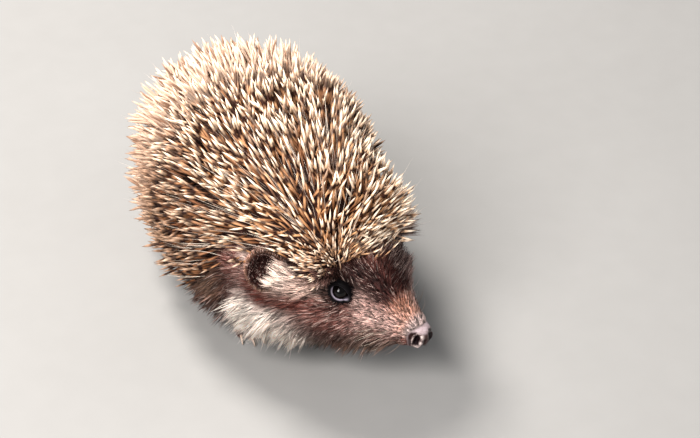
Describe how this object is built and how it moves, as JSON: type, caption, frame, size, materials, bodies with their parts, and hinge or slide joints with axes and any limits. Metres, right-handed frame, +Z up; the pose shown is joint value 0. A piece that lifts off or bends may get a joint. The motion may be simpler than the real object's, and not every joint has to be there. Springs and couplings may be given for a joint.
{
  "type": "hedgehog",
  "caption": "Life-size still model of a young hedgehog standing on all fours, head low and turned to its left, body round and arched under a coat of quills.",
  "frame": {"origin": "on the floor, under the middle of the whole animal's box", "axes": "+Y from the head to the rump along the body, +X to the animal's own left, +Z up; the soles stand on z = 0"},
  "size_m": [0.0827, 0.1457, 0.0765],
  "materials": {
    "quill_coat": "dense banded quills, cream tips over a dark band and a tan base",
    "face_fur": "short coarse fur, dark mask round the eyes, pale cheeks",
    "paw_skin": "thinly furred skin with bare pads",
    "nose_skin": "moist bare skin, finely grained",
    "eye": "wet black",
    "claw": "smooth horn"
  },
  "bodies": {
    "root": {"ear_left": "face_fur", "ear_right": "face_fur", "eye_left": "eye", "eye_right": "eye", "foreclaw_left_1": "claw", "foreclaw_left_2": "claw", "foreclaw_left_3": "claw", "foreclaw_left_4": "claw", "foreclaw_left_5": "claw", "foreclaw_right_1": "claw", "foreclaw_right_2": "claw", "foreclaw_right_3": "claw", "foreclaw_right_4": "claw", "foreclaw_right_5": "claw", "foreleg_left": "face_fur", "foreleg_right": "face_fur", "forepaw_left": "paw_skin", "forepaw_right": "paw_skin", "head": "face_fur", "hindclaw_left_1": "claw", "hindclaw_left_2": "claw", "hindclaw_left_3": "claw", "hindclaw_left_4": "claw", "hindclaw_left_5": "claw", "hindclaw_right_1": "claw", "hindclaw_right_2": "claw", "hindclaw_right_3": "claw", "hindclaw_right_4": "claw", "hindclaw_right_5": "claw", "hindleg_left": "face_fur", "hindleg_right": "face_fur", "hindpaw_left": "paw_skin", "hindpaw_right": "paw_skin", "lower_jaw": "face_fur", "neck": "quill_coat", "nose": "nose_skin", "tail": "face_fur", "trunk": "quill_coat"}
  },
  "joints": []
}
